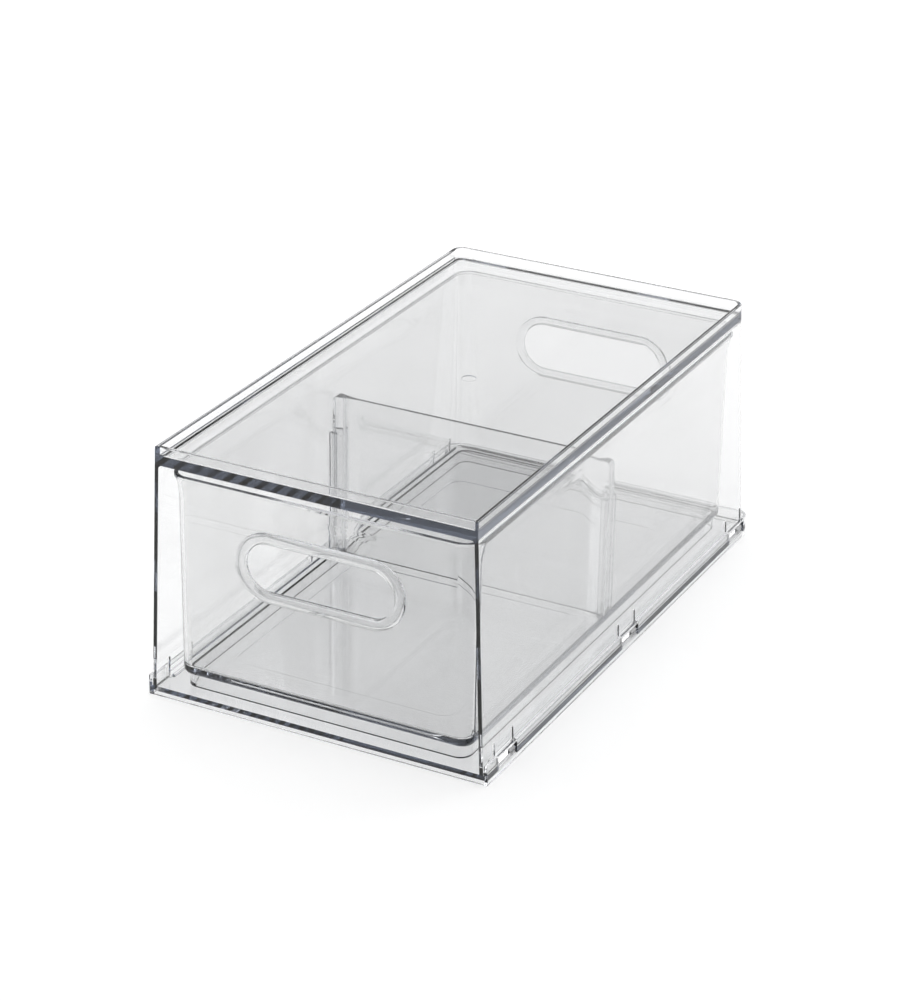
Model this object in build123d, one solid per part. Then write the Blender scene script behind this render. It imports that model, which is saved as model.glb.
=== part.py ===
from build123d import *
import os
from math import atan, degrees, radians, tan

# A clear stacking drawer box: an outer case (shell snapped onto a base tray), a pull-out bin
# and a loose divider. Millimetres, +Z up, front towards -Y, origin under the centre of the box.

# ---- case shell ----
case_height = 157.2          # floor to the top of the stacking rim
case_foot_width = 211.8      # outside the side walls, where they stand on the tray
case_foot_length = 366.9     # open front to the outside of the back wall, at the tray
case_draft = 2.25            # every wall leans inwards by this many degrees
case_wall = 2.4
case_corner_radius = 7.0     # back corners
panel_thickness = 4.8
rim_height = 6.6             # stacking rim above the top panel
rim_wall = 2.5
rim_root_radius = 1.8
panel_root_radius = 2.2      # under the panel, where it meets the walls
rim_edge_radius = 0.8
gate_mark_diameter = 9.0
gate_mark_depth = 0.4

# ---- snap tabs along the foot of the shell ----
tab_length = 24.2
tab_front_inset = 25.0       # front face to the middle of the first side tab
tab_back_inset = 19.8        # outside of the back wall to the middle of the last side tab
tabs_per_side = 3
slit_width = 1.6
slit_height = 12.6
barb_depth = 1.9
barb_height = 6.8
tab_drop = 2.6               # the tab reaches this far below the foot of the shell

# ---- base tray ----
skirt_height = 2.1
skirt_wall = 2.2
tray_thickness = 3.9
lip_height = 6.2
lip_wall = 2.1
lip_clearance = 0.5
notch_clearance = 0.4        # round each tab
guide_height = 1.6
guide_width = 1.6
guide_inset = 2.6            # middle of a guide rib inside the side wall
guide_front_inset = 14.0

# ---- bin ----
bin_top_gap = 6.2            # bin rim to the underside of the panel
bin_side_gap = 2.2           # bin rim to each side wall
bin_back_gap = 0.6           # bin rim to the back wall
bin_front_setback = 4.3      # bin rim behind the open front
bin_wall = 2.3
bin_floor = 4.0
bin_draft = 0.2
bin_corner_radius = 9.0      # outside corners, just under the rim
bin_bottom_radius = 3.6
bin_cove_radius = 3.0        # inside, where the walls meet the floor
flange_overhang = 2.5
flange_thickness = 2.0
flange_edge_radius = 0.7
flange_root_radius = 2.2
flare_height = 9.5           # the wall sweeps outwards over this height under the flange
flare_reach = 2.0
flare_foot_radius = 28.0     # where the sweep leaves the wall
foot_height = 7.8
foot_step = 2.6              # foot ring inside the bottom of the bin wall
foot_wall = 2.2
floor_panel_depth = 0.4
floor_panel_side_inset = 20.5
rear_panel_start = 53.0      # behind the divider
rear_panel_length = 68.5
floor_panel_radius = 9.0

# ---- grips: an oval hole with a rounded roll, in the front and back walls ----
front_grip_width = 93.5
front_grip_height = 29.5
front_grip_drop = 44.6       # bin rim to the middle of the hole
front_roll_width = 6.8
rear_grip_width = 96.0
rear_grip_height = 30.5
rear_grip_drop = 40.7
rear_roll_width = 5.2
roll_outside = 2.2           # roll stands proud of the wall
roll_inside = 1.4
roll_edge_radius = 2.6

# ---- divider and its channels ----
divider_position = 184.0     # middle of the divider behind the open front
divider_drop = 21.6          # its top edge below the bin rim
divider_rise = 23.0          # its top edge above the top of the channels
divider_thickness = 2.2
divider_end_thickness = 6.7
divider_end_width = 4.4      # the thick end, up to where it begins to thin
divider_flare_length = 13.0  # from the thick end down to the plate
divider_corner_radius = 3.0
divider_edge_radius = 0.4
divider_clearance = 0.35
channel_rib_width = 2.2
channel_depth = 5.0

# ---- worked out from the sizes above ----
lean = tan(radians(case_draft))
bin_lean = tan(radians(bin_draft))
front_y = -(case_foot_length + lip_clearance + lip_wall) / 2
tray_top = skirt_height + tray_thickness
rim_top = case_height
panel_top = rim_top - rim_height
panel_under = panel_top - panel_thickness
case_foot_back = front_y + case_foot_length
bin_top = panel_under - bin_top_gap
bin_under = tray_top + foot_height
floor_top = bin_under + bin_floor
divider_y = front_y + divider_position
divider_top = bin_top - divider_drop
channel_top = divider_top - divider_rise


def case_half_width(z):
    return case_foot_width / 2 - (z - tray_top) * lean


def case_back(z):
    return case_foot_back - (z - tray_top) * lean


# the bin fits the narrowest place it passes: level with its own rim
flange_half_width = case_half_width(bin_top) - case_wall - bin_side_gap
flange_front = front_y + bin_front_setback
flange_back = case_back(bin_top) - case_wall - bin_back_gap
bin_half_width = flange_half_width - flange_overhang
bin_front = flange_front + flange_overhang
bin_back = flange_back - flange_overhang


def slab(half_width, y_low, y_high, z_low, z_high):
    box = Box(2 * half_width, y_high - y_low, z_high - z_low)
    return Pos(0, (y_low + y_high) / 2, (z_low + z_high) / 2) * box


def block(x_low, x_high, y_low, y_high, z_low, z_high):
    box = Box(x_high - x_low, y_high - y_low, z_high - z_low)
    return Pos((x_low + x_high) / 2, (y_low + y_high) / 2, (z_low + z_high) / 2) * box


def rounded_prism(half_width, y_low, y_high, radius, z_low, z_high, draft=0.0):
    outline = RectangleRounded(2 * half_width, y_high - y_low, radius)
    return extrude(Pos(0, (y_low + y_high) / 2, z_low) * outline, z_high - z_low, taper=draft)


def case_block(inset, z_low, z_high, front_inset=None):
    """The drafted body of the case, shrunk by inset; without a front inset the front is open."""
    run_out = 3 * case_corner_radius
    half_width = case_half_width(z_low) - inset
    back, front = case_back(z_low) - inset, front_y - run_out
    outline = Pos(0, (front + back) / 2, z_low) * Rectangle(2 * half_width, back - front)
    prism = extrude(outline, z_high - z_low, taper=case_draft)
    corners = prism.edges().filter_by(lambda edge: edge.bounding_box().size.Z > 0.1)
    prism = fillet(corners, max(case_corner_radius - inset, 1.0))
    if front_inset is None:
        return prism
    return prism & slab(case_foot_width, front_y + front_inset, back + run_out, z_low, z_high)


def side_tab_centres():
    first = front_y + tab_front_inset
    last = case_foot_back - tab_back_inset
    return [first + (last - first) * i / (tabs_per_side - 1) for i in range(tabs_per_side)]


def make_case_shell():
    shell = case_block(0, tray_top, rim_top, front_inset=0)
    room = case_block(case_wall, tray_top, panel_under)
    roof_edges = room.edges().group_by(Axis.Z)[-1].filter_by_position(
        Axis.Y, front_y, case_foot_back, inclusive=(False, False))
    shell -= fillet(roof_edges, panel_root_radius)
    well = case_block(rim_wall, panel_top, rim_top + 1, front_inset=rim_wall)
    shell -= fillet(well.edges().group_by(Axis.Z)[0], rim_root_radius)
    crest = shell.edges().group_by(Axis.Z)[-1]
    shell = fillet(crest, rim_edge_radius)
    mark = Cylinder(gate_mark_diameter / 2, 2 * gate_mark_depth)
    shell -= Pos(0, front_y + case_foot_length / 2, panel_top) * mark
    for side in (-1, 1):
        for centre in side_tab_centres():
            shell = cut_tab(shell, side * case_foot_width / 2, centre, 90 * side)
    return cut_tab(shell, 0, case_foot_back, 180)


def cut_tab(shell, x, y, turn):
    """A springy tab between two slits, with a barb outside it, hooked into a notch in the tray."""
    slit = Pos(0, 0, slit_height / 2) * Box(slit_width, 4 * case_wall, slit_height)
    heart = -case_wall / 2
    hook = Polyline((barb_depth, -tab_drop), (barb_depth, barb_height / 2 - tab_drop),
                    (heart, barb_height - tab_drop), (heart, slit_width),
                    (-case_wall, slit_width), (-case_wall, -tab_drop), close=True)
    barb = extrude(Plane.YZ * make_face(hook), tab_length / 2 - slit_width, both=True)
    place = Pos(x, y, tray_top) * Rot(0, 0, turn + 180)
    for end in (-1, 1):
        shell -= place * Pos(end * (tab_length - slit_width) / 2, 0, 0) * slit
    return shell + place * barb


def make_case_base():
    lip_half_width = case_foot_width / 2 + lip_clearance + lip_wall
    lip_back = case_foot_back + lip_clearance + lip_wall
    lip_radius = case_corner_radius + lip_clearance + lip_wall
    lip_top = tray_top + lip_height
    run_out = 3 * lip_radius

    def tray_block(inset, z_low, z_high, front_inset):
        prism = rounded_prism(lip_half_width - inset, front_y - run_out, lip_back - inset,
                              lip_radius - inset, z_low, z_high)
        return prism & slab(case_foot_width, front_y + front_inset, lip_back, z_low, z_high)

    base = tray_block(0, 0, lip_top, 0)
    base -= tray_block(lip_wall, tray_top, lip_top + 1, -1)
    base -= tray_block(skirt_wall, -1, skirt_height, skirt_wall)
    guide_x = case_foot_width / 2 - case_wall - guide_inset
    for side in (-1, 1):
        base += block(side * guide_x - guide_width / 2, side * guide_x + guide_width / 2,
                      front_y + guide_front_inset, case_foot_back - case_corner_radius,
                      tray_top, tray_top + guide_height)
    notch_half = (tab_length - slit_width) / 2
    notch_low = tray_top - tab_drop - notch_clearance
    notch_high = tray_top - tab_drop + barb_height + notch_clearance
    notch_depth = lip_wall + lip_clearance + case_wall + notch_clearance
    notch = Pos(0, notch_depth, 0) * block(-notch_half, notch_half, -2 * notch_depth, 0,
                                           notch_low, notch_high)
    for side in (-1, 1):
        for centre in side_tab_centres():
            base -= Pos(side * lip_half_width, centre, 0) * Rot(0, 0, -90 * side) * notch
    return base - Pos(0, lip_back, 0) * notch


def oval(width, height, y_low, y_high, z):
    """A stadium prism along Y, centred on the middle of the bin."""
    outline = SlotOverall(width, height)
    depth = y_high - y_low
    return extrude(Plane((0, y_high, z), x_dir=(1, 0, 0), z_dir=(0, -1, 0)) * outline, depth)


def make_grip(wall_outer, outward, width, height, drop, roll_width):
    """The roll round a grip hole, and the gap that the wall leaves for it.

    outward is -1 on the front wall and 1 on the back wall."""
    proud = wall_outer + outward * roll_outside
    sunk = wall_outer - outward * (bin_wall + roll_inside)
    y_low, y_high = min(proud, sunk), max(proud, sunk)
    z = bin_top - drop
    roll = oval(width + 2 * roll_width, height + 2 * roll_width, y_low, y_high, z)
    ring = roll - oval(width, height, y_low - 1, y_high + 1, z)
    ends = ring.edges().group_by(Axis.Y)
    ring = fillet(ends[0] + ends[-1], min(roll_edge_radius, 0.45 * roll_width))
    wall_gap = oval(width + roll_width, height + roll_width, y_low - 1, y_high + 1, z)
    return ring, wall_gap


def make_channel(side):
    """Two upright ribs on a side wall; the thick edge of the divider runs between them."""
    wall_x = bin_half_width - bin_wall
    gap = divider_end_thickness + 2 * divider_clearance
    ribs = []
    for hand in (-1, 1):
        rib_y = divider_y + hand * (gap + channel_rib_width) / 2
        rib = block(wall_x - channel_depth, wall_x + bin_wall / 2, rib_y - channel_rib_width / 2,
                    rib_y + channel_rib_width / 2, bin_under + bin_floor / 2, channel_top)
        nose = rib.edges().filter_by(Axis.Z).group_by(Axis.X)[0]
        tip = rib.edges().filter_by(Axis.Y).group_by(Axis.Z)[-1].group_by(Axis.X)[0]
        ribs.append(fillet(nose + tip, 0.45 * channel_rib_width))
    both = ribs[0] + ribs[1]
    return both if side > 0 else mirror(both, Plane.YZ)


def edges_at(edges, z):
    return edges.filter_by_position(Axis.Z, z - 0.01, z + 0.01)


def sweep_out(body, inset, z_high, foot_radius):
    """Lean the top of the bin's outer or inner form outwards, from a long soft bend."""
    flare_low = bin_top - flange_thickness - flare_height
    tuck = inset + (bin_top - flare_low) * bin_lean
    sweep = degrees(atan(flare_reach / flare_height + bin_lean))
    flare = rounded_prism(bin_half_width - tuck, bin_front + tuck, bin_back - tuck,
                          bin_corner_radius - tuck, flare_low, z_high, -sweep)
    flared = body + flare
    return fillet(edges_at(flared.edges(), flare_low), foot_radius)


def add_flange(tub):
    """The wall sweeps outwards to a thin flange that ends level with the top."""
    flange_low = bin_top - flange_thickness
    flared = sweep_out(tub, 0, flange_low, flare_foot_radius)
    flange = rounded_prism(flange_half_width, flange_front, flange_back,
                           bin_corner_radius + flange_overhang, flange_low, bin_top)
    rimmed = flared + flange
    root = edges_at(new_edges(flange, combined=rimmed), flange_low)
    return fillet(root, min(flange_root_radius, 0.9 * (flange_overhang - flare_reach)))


def make_hollow(foot_half_width, foot_front, foot_back, foot_radius):
    """The room inside the bin; its wall follows the outside at an even thickness."""
    inset = bin_wall - (floor_top - bin_under) * bin_lean
    hollow = rounded_prism(foot_half_width - inset, foot_front + inset, foot_back - inset,
                           foot_radius - inset, floor_top, bin_top + 1, -bin_draft)
    hollow = fillet(hollow.edges().group_by(Axis.Z)[0], bin_cove_radius)
    return sweep_out(hollow, bin_wall, bin_top + 1, flare_foot_radius + bin_wall)


def make_drawer_bin():
    sweep_in = (bin_top - bin_under) * bin_lean
    foot_half_width = bin_half_width - sweep_in
    foot_front = bin_front + sweep_in
    foot_back = bin_back - sweep_in
    tub = rounded_prism(foot_half_width, foot_front, foot_back, bin_corner_radius - sweep_in,
                        bin_under, bin_top, -bin_draft)
    tub = fillet(tub.edges().group_by(Axis.Z)[0], bin_bottom_radius)
    tub = add_flange(tub)
    tub -= make_hollow(foot_half_width, foot_front, foot_back, bin_corner_radius - sweep_in)
    tub = fillet(tub.edges().group_by(Axis.Z)[-1], min(flange_edge_radius, 0.4 * flange_thickness))
    front_grip = make_grip(bin_front, -1, front_grip_width, front_grip_height,
                           front_grip_drop, front_roll_width)
    rear_grip = make_grip(bin_back, 1, rear_grip_width, rear_grip_height,
                          rear_grip_drop, rear_roll_width)
    for roll, wall_gap in (front_grip, rear_grip):
        tub = tub - wall_gap + roll
    for side in (-1, 1):
        tub += make_channel(side)
    tub += make_bin_foot(foot_half_width, foot_front, foot_back)
    return tub - make_floor_panels(foot_half_width - bin_wall, foot_front + bin_wall)


def make_bin_foot(half_width, front, back):
    """The low ring that the bin stands and slides on."""
    def ring_block(inset, z_low, z_high):
        return rounded_prism(half_width - inset, front + inset, back - inset,
                             max(bin_corner_radius - inset / 2, 2.0), z_low, z_high)

    outer = ring_block(foot_step, tray_top, bin_under + bin_floor / 2)
    return outer - ring_block(foot_step + foot_wall, tray_top - 1, bin_under)


def make_floor_panels(half_width, front):
    """Two shallow rounded recesses in the floor, one each side of the divider."""
    panel_half_width = half_width - floor_panel_side_inset
    low, high = floor_top - floor_panel_depth, floor_top + 1
    fore = rounded_prism(panel_half_width, front + floor_panel_side_inset, divider_y,
                         floor_panel_radius, low, high)
    fore &= slab(half_width, front, divider_y - floor_panel_radius, low, high)
    rear_start = divider_y + rear_panel_start
    rear = rounded_prism(panel_half_width, rear_start, rear_start + rear_panel_length,
                         floor_panel_radius, low, high)
    return fore + rear


def divider_plan(half_width):
    """The plate seen from above, swelling by a tangent arc to a thick end at each side."""
    thin, thick = divider_thickness / 2, divider_end_thickness / 2
    shoulder = half_width - divider_end_width
    start = shoulder - divider_flare_length
    quarter = Line((0, thin), (start, thin))
    quarter += TangentArc((start, thin), (shoulder, thick), tangent=(1, 0))
    quarter += Line((shoulder, thick), (half_width, thick))
    quarter += Line((half_width, thick), (half_width, 0))
    half = quarter + mirror(quarter, Plane.XZ)
    return make_face(half + mirror(half, Plane.YZ))


def make_divider():
    lean_in = (bin_top - floor_top) * bin_lean
    half_width = bin_half_width - bin_wall - lean_in - divider_clearance
    height = divider_top - floor_top
    middle = Plane((0, divider_y, floor_top + height / 2), x_dir=(1, 0, 0), z_dir=(0, -1, 0))
    outline = middle * RectangleRounded(2 * half_width, height, divider_corner_radius)
    upright = extrude(outline, divider_end_thickness, both=True)
    plate = extrude(Pos(0, divider_y, floor_top) * divider_plan(half_width), height)
    plate = (plate & upright).clean()
    return fillet(plate.edges().group_by(Axis.Z)[-1], divider_edge_radius)


os.makedirs("parts", exist_ok=True)
nodes = {
    "case_shell": make_case_shell(),
    "case_base": make_case_base(),
    "drawer_bin": make_drawer_bin(),
    "divider": make_divider(),
}
for name, solid in nodes.items():
    print(name, solid.is_valid, solid.volume, solid.bounding_box())
    export_step(solid, f"parts/{name}.step")
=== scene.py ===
import math

import bpy
from mathutils import Matrix, Vector


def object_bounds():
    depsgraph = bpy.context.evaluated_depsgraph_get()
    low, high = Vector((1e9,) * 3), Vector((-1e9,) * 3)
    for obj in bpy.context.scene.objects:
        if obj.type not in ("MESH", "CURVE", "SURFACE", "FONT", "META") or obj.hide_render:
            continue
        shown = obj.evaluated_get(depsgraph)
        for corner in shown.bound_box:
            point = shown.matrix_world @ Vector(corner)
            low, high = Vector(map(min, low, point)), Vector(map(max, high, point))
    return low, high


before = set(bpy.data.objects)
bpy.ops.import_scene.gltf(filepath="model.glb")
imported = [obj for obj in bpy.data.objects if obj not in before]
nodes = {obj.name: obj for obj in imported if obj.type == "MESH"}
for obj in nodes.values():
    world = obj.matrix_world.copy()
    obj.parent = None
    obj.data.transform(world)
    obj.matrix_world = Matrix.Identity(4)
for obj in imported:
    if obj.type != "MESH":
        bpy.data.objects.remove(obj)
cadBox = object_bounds()
print("frame loaded:", ", ".join(sorted(nodes)))

# the photograph's viewing angle
viewSet = {
    "place": (0.7588, -1.4961, 0.8608),
    "lookAt": (0.00127, -0.02573, 0.08221),
    "roll": 0.84,   # degrees
    "lens": 111.92, "sensor": 36,
    "nearest": 0.01,
}


def placeCamera(s):
    # the camera's own axes: right, up and back, turned a little about the line of sight
    eye = Vector(s["place"])
    ahead = (Vector(s["lookAt"]) - eye).normalized()
    side = ahead.cross(Vector((0, 0, 1))).normalized()
    up = side.cross(ahead)
    turn = math.radians(s["roll"])
    right = side * math.cos(turn) + up * math.sin(turn)
    top = up * math.cos(turn) - side * math.sin(turn)
    axes = Matrix((right, top, -ahead)).transposed().to_4x4()
    data = bpy.data.cameras.new("camera")
    data.lens = s["lens"]
    data.sensor_width = s["sensor"]
    data.clip_start = s["nearest"]
    camera = bpy.data.objects.new("camera", data)
    bpy.context.scene.collection.objects.link(camera)
    camera.matrix_world = Matrix.Translation(eye) @ axes
    bpy.context.scene.camera = camera


placeCamera(viewSet)
print("camera placed")


def addNode(tree, kind, **values):
    # a node with its settings, and with values for its inputs by name
    node = tree.nodes.new(kind)
    for name, value in values.items():
        if hasattr(node, name):
            setattr(node, name, value)
        else:
            node.inputs[name.replace("_", " ")].default_value = value
    return node


def newMaterial(name):
    material = bpy.data.materials.new(name)
    material.use_nodes = True
    material.node_tree.nodes.clear()
    return material, material.node_tree


# the noise behind the waves and the scuffs, and how much of the scuffs' noise shows as wear
mouldSet = {"waveDetail": 1.0, "scuffDetail": 4.0, "wearFrom": 0.5, "wearTo": 0.75}


def makeMouldedGroup(s):
    # shared by the mouldings: faint waves left by the mould, and fine scuffs that dull the gloss
    group = bpy.data.node_groups.new("mouldedSurface", "ShaderNodeTree")
    face = group.interface
    face.new_socket("Vector", in_out="INPUT", socket_type="NodeSocketVector")
    for name in ("Wave Size", "Scuff Size", "Gloss", "Dull"):
        face.new_socket(name, in_out="INPUT", socket_type="NodeSocketFloat")
    for name in ("Clear", "Cloudy"):
        face.new_socket(name, in_out="INPUT", socket_type="NodeSocketColor")
    face.new_socket("Tint", in_out="OUTPUT", socket_type="NodeSocketColor")
    for name in ("Roughness", "Height"):
        face.new_socket(name, in_out="OUTPUT", socket_type="NodeSocketFloat")
    given = addNode(group, "NodeGroupInput")
    made = addNode(group, "NodeGroupOutput")
    link = group.links.new

    def noise(size, detail):
        # a noise whose grain has the size that the group is given under that name
        scale = addNode(group, "ShaderNodeMath", operation="DIVIDE")
        scale.inputs[0].default_value = 1
        link(given.outputs[size], scale.inputs[1])
        grain = addNode(group, "ShaderNodeTexNoise", Detail=detail)
        link(given.outputs["Vector"], grain.inputs["Vector"])
        link(scale.outputs[0], grain.inputs["Scale"])
        return grain.outputs["Fac"]

    waves = noise("Wave Size", s["waveDetail"])
    scuffs = noise("Scuff Size", s["scuffDetail"])
    wear = addNode(group, "ShaderNodeMapRange", From_Min=s["wearFrom"], From_Max=s["wearTo"])
    link(scuffs, wear.inputs["Value"])
    link(given.outputs["Gloss"], wear.inputs["To Min"])
    link(given.outputs["Dull"], wear.inputs["To Max"])
    # sockets 6 and 7 are the two colours of a mix, and 2 is its colour out
    tint = addNode(group, "ShaderNodeMix", data_type="RGBA")
    link(waves, tint.inputs["Factor"])
    link(given.outputs["Clear"], tint.inputs[6])
    link(given.outputs["Cloudy"], tint.inputs[7])
    link(tint.outputs[2], made.inputs["Tint"])
    link(wear.outputs["Result"], made.inputs["Roughness"])
    link(waves, made.inputs["Height"])
    return group


mouldedSurface = makeMouldedGroup(mouldSet)


def clearPlastic(name, s):
    # clear polystyrene: bends light, takes a little of it on the way, and lets the lamps through
    material, tree = newMaterial(name)
    link = tree.links.new
    place = addNode(tree, "ShaderNodeTexCoord")
    surface = addNode(tree, "ShaderNodeGroup")
    surface.node_tree = mouldedSurface
    for key in ("Wave Size", "Scuff Size", "Gloss", "Dull", "Clear", "Cloudy"):
        surface.inputs[key].default_value = s[key]
    link(place.outputs["Object"], surface.inputs["Vector"])
    bump = addNode(tree, "ShaderNodeBump", Strength=s["waveStrength"], Distance=s["waveDepth"])
    link(surface.outputs["Height"], bump.inputs["Height"])
    plastic = addNode(tree, "ShaderNodeBsdfPrincipled", Metallic=0.0, IOR=s["ior"])
    plastic.inputs["Transmission Weight"].default_value = 1
    link(surface.outputs["Tint"], plastic.inputs["Base Color"])
    link(surface.outputs["Roughness"], plastic.inputs["Roughness"])
    link(bump.outputs["Normal"], plastic.inputs["Normal"])
    through = addNode(tree, "ShaderNodeBsdfTransparent")
    through.inputs["Color"].default_value = s["lampTint"]
    rays = addNode(tree, "ShaderNodeLightPath")
    blend = addNode(tree, "ShaderNodeMixShader")
    link(rays.outputs["Is Shadow Ray"], blend.inputs[0])
    link(plastic.outputs[0], blend.inputs[1])
    link(through.outputs[0], blend.inputs[2])
    depth = addNode(tree, "ShaderNodeVolumeAbsorption", Density=s["density"])
    depth.inputs["Color"].default_value = s["depthColour"]
    out = addNode(tree, "ShaderNodeOutputMaterial")
    link(blend.outputs[0], out.inputs["Surface"])
    link(depth.outputs[0], out.inputs["Volume"])
    return material


plainClear = {
    "Wave Size": 0.07, "Scuff Size": 0.005, "Gloss": 0.0, "Dull": 0.02,
    "Clear": (0.965, 0.965, 0.965, 1), "Cloudy": (0.935, 0.937, 0.937, 1),
    "waveStrength": 0.05, "waveDepth": 0.0004, "ior": 1.5,
    "density": 6.3, "depthColour": (0.0, 0.06, 0.18, 1), "lampTint": (0.96, 0.96, 0.96, 1),
}
# the tray and the bin are darker copies of the same clear plastic: a painted shade, tints that
# stand in for the shade inside the drawer
trayShadedClear = {
    **plainClear,
    "Clear": (0.95, 0.95, 0.95, 1), "Cloudy": (0.91, 0.913, 0.913, 1),
}
binShadedClear = {
    **plainClear,
    "Clear": (0.935, 0.935, 0.933, 1), "Cloudy": (0.895, 0.896, 0.894, 1),
}
finishes = {
    "case_shell": plainClear,
    # the tray and the bin take the darker tints, which are painted shade
    "case_base": trayShadedClear,
    "drawer_bin": binShadedClear,
    "divider": plainClear,
}
for name, finish in finishes.items():
    node = nodes[name]
    node.data.materials.clear()
    node.data.materials.append(clearPlastic(name + "_clear", finish))
print("plastic ready")

studioSet = {
    "floorSize": 12.0, "floorColour": (0.8, 0.8, 0.8, 1), "floorGap": 0.0003,
    # the floor's own glow, and the distances from the part between which it grows
    "floorGlow": 0.31, "farGlow": 0.6, "glowFrom": 0.3, "glowTo": 1.6,
    "worldLevel": 0.62,
    # what the plastic reflects and bends, by how far up a ray goes
    "backdrop": 1.0, "backdropTop": 0.3, "ceiling": 0.3, "ceilingFoot": 0.6,
    # and by how far sideways it goes
    "sideLevel": 0.3, "sideFrom": 0.5, "sideTo": 0.85,
}
# softboxes: where each stands, its width and height, and its power in watts
softboxes = {
    "overhead": {"place": (-0.45, 0.25, 1.8), "size": (1.6, 1.6), "power": 14.0},
    "rear": {"place": (0.3, 1.9, 1.2), "size": (1.6, 0.8), "power": 4.5},
    "rearRight": {"place": (0.9, 1.2, 1.5), "size": (0.5, 1.6), "power": 4.0},
    "frontLeft": {"place": (-1.3, -0.6, 1.4), "size": (0.4, 1.4), "power": 5.0},
}


def anyRay(tree, kinds):
    # 1 for rays of any of these kinds, else 0
    rays = addNode(tree, "ShaderNodeLightPath")
    found = rays.outputs[kinds[0]]
    for kind in kinds[1:]:
        either = addNode(tree, "ShaderNodeMath", operation="MAXIMUM")
        tree.links.new(found, either.inputs[0])
        tree.links.new(rays.outputs[kind], either.inputs[1])
        found = either.outputs[0]
    return found


def makeFloor(s):
    # a wide plane under the part; part of its white is its own, so that the shadow stays soft
    half = s["floorSize"] / 2
    mesh = bpy.data.meshes.new("floor")
    corners = [(-half, -half, 0), (half, -half, 0), (half, half, 0), (-half, half, 0)]
    mesh.from_pydata(corners, [], [(0, 1, 2, 3)])
    floor = bpy.data.objects.new("floor", mesh)
    bpy.context.scene.collection.objects.link(floor)
    material, tree = newMaterial("floorWhite")
    link = tree.links.new
    matt = addNode(tree, "ShaderNodeBsdfDiffuse", Color=s["floorColour"])
    glow = addNode(tree, "ShaderNodeEmission")
    seen = anyRay(tree, ("Is Camera Ray", "Is Glossy Ray", "Is Transmission Ray"))
    place = addNode(tree, "ShaderNodeTexCoord")
    reach = addNode(tree, "ShaderNodeVectorMath", operation="LENGTH")
    link(place.outputs["Object"], reach.inputs[0])
    spread = addNode(tree, "ShaderNodeMapRange", From_Min=s["glowFrom"], From_Max=s["glowTo"],
                     To_Min=s["floorGlow"], To_Max=s["farGlow"])
    link(reach.outputs["Value"], spread.inputs["Value"])
    strength = addNode(tree, "ShaderNodeMath", operation="MULTIPLY")
    link(spread.outputs["Result"], strength.inputs[1])
    link(seen, strength.inputs[0])
    link(strength.outputs[0], glow.inputs["Strength"])
    both = addNode(tree, "ShaderNodeAddShader")
    link(matt.outputs[0], both.inputs[0])
    link(glow.outputs[0], both.inputs[1])
    out = addNode(tree, "ShaderNodeOutputMaterial")
    link(both.outputs[0], out.inputs["Surface"])
    mesh.materials.append(material)
    floor.location.z = cadBox[0][2] - s["floorGap"]


def makeWorld(s):
    # seen straight it is white; in the plastic it is a white backdrop between darker sides and
    # under a dimmer ceiling; elsewhere it is plain even light
    world = bpy.data.worlds.new("studio")
    bpy.context.scene.world = world
    world.use_nodes = True
    tree = world.node_tree
    tree.nodes.clear()
    link = tree.links.new
    inPlastic = anyRay(tree, ("Is Glossy Ray", "Is Transmission Ray"))
    facing = addNode(tree, "ShaderNodeTexCoord")
    parts = addNode(tree, "ShaderNodeSeparateXYZ")
    link(facing.outputs["Generated"], parts.inputs[0])
    upwards = addNode(tree, "ShaderNodeMapRange", From_Min=s["backdropTop"],
                      From_Max=s["ceilingFoot"], To_Min=s["backdrop"], To_Max=s["ceiling"])
    link(parts.outputs["Z"], upwards.inputs["Value"])
    sideways = addNode(tree, "ShaderNodeMath", operation="ABSOLUTE")
    link(parts.outputs["X"], sideways.inputs[0])
    sides = addNode(tree, "ShaderNodeMapRange", From_Min=s["sideFrom"], From_Max=s["sideTo"],
                    To_Min=1.0, To_Max=s["sideLevel"])
    link(sideways.outputs[0], sides.inputs["Value"])
    around = addNode(tree, "ShaderNodeMath", operation="MULTIPLY")
    link(upwards.outputs["Result"], around.inputs[0])
    link(sides.outputs["Result"], around.inputs[1])
    level = addNode(tree, "ShaderNodeMapRange", To_Min=s["worldLevel"])
    link(inPlastic, level.inputs["Value"])
    link(around.outputs[0], level.inputs["To Max"])
    white = addNode(tree, "ShaderNodeMapRange", To_Max=s["backdrop"])
    link(anyRay(tree, ("Is Camera Ray",)), white.inputs["Value"])
    link(level.outputs["Result"], white.inputs["To Min"])
    sky = addNode(tree, "ShaderNodeBackground")
    link(white.outputs["Result"], sky.inputs["Strength"])
    out = addNode(tree, "ShaderNodeOutputWorld")
    link(sky.outputs[0], out.inputs["Surface"])


def addSoftbox(name, s):
    data = bpy.data.lights.new(name, "AREA")
    data.shape = "RECTANGLE"
    data.size, data.size_y = s["size"]
    data.energy = s["power"]
    lamp = bpy.data.objects.new(name, data)
    bpy.context.scene.collection.objects.link(lamp)
    lamp.location = s["place"]
    aim = Vector(viewSet["lookAt"]) - Vector(s["place"])
    lamp.rotation_euler = aim.to_track_quat("-Z", "Y").to_euler()


makeFloor(studioSet)
makeWorld(studioSet)
for name, box in softboxes.items():
    addSoftbox(name, box)

# light caught between two faces bounces many times before it leaves the plastic
bounces = {
    "max_bounces": 128, "glossy_bounces": 128,
    "transmission_bounces": 48, "transparent_max_bounces": 48,
}
scene = bpy.context.scene
scene.view_settings.view_transform = "Standard"
for name, limit in bounces.items():
    setattr(scene.cycles, name, limit)
print("studio ready")
